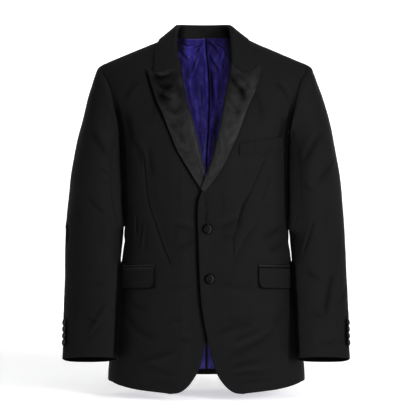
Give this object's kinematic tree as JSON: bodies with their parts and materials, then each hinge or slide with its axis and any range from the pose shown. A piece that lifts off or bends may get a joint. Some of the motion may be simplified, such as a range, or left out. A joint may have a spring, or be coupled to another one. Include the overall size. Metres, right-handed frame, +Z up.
{
  "type": "dinner jacket",
  "caption": "Black single-breasted dinner jacket filled out as worn, with satin peak lapels, hip flaps, a chest welt and a centre vent; hollow and open at neck, cuffs and hem.",
  "frame": {"origin": "middle of the neck opening, level with the inner ends of the shoulder seams, where the wearer's neck and shoulders hold the jacket up", "axes": "+Z up; the front looks towards -Y; +X is the wearer's left"},
  "size_m": [0.6358, 0.2644, 0.8232],
  "materials": {
    "wool": "fine black wool with a soft sheen",
    "satin": "black satin",
    "button_satin": "button covered in black satin",
    "lining": "purple-blue satin lining"
  },
  "bodies": {
    "root": {"back_left": "wool", "back_right": "wool", "chest_welt": "wool", "collar": "wool", "cuff_button_left_1": "button_satin", "cuff_button_left_2": "button_satin", "cuff_button_left_3": "button_satin", "cuff_button_left_4": "button_satin", "cuff_button_right_1": "button_satin", "cuff_button_right_2": "button_satin", "cuff_button_right_3": "button_satin", "cuff_button_right_4": "button_satin", "flap_left": "wool", "flap_right": "wool", "front_button_1": "button_satin", "front_button_2": "button_satin", "front_left": "wool", "front_right": "wool", "jet_left": "satin", "jet_right": "satin", "lapel_left": "satin", "lapel_right": "satin", "lining_left": "lining", "lining_right": "lining", "side_left": "wool", "side_right": "wool", "top_sleeve_left": "wool", "top_sleeve_right": "wool", "under_sleeve_left": "wool", "under_sleeve_right": "wool", "vent_underlap": "wool"}
  },
  "joints": []
}
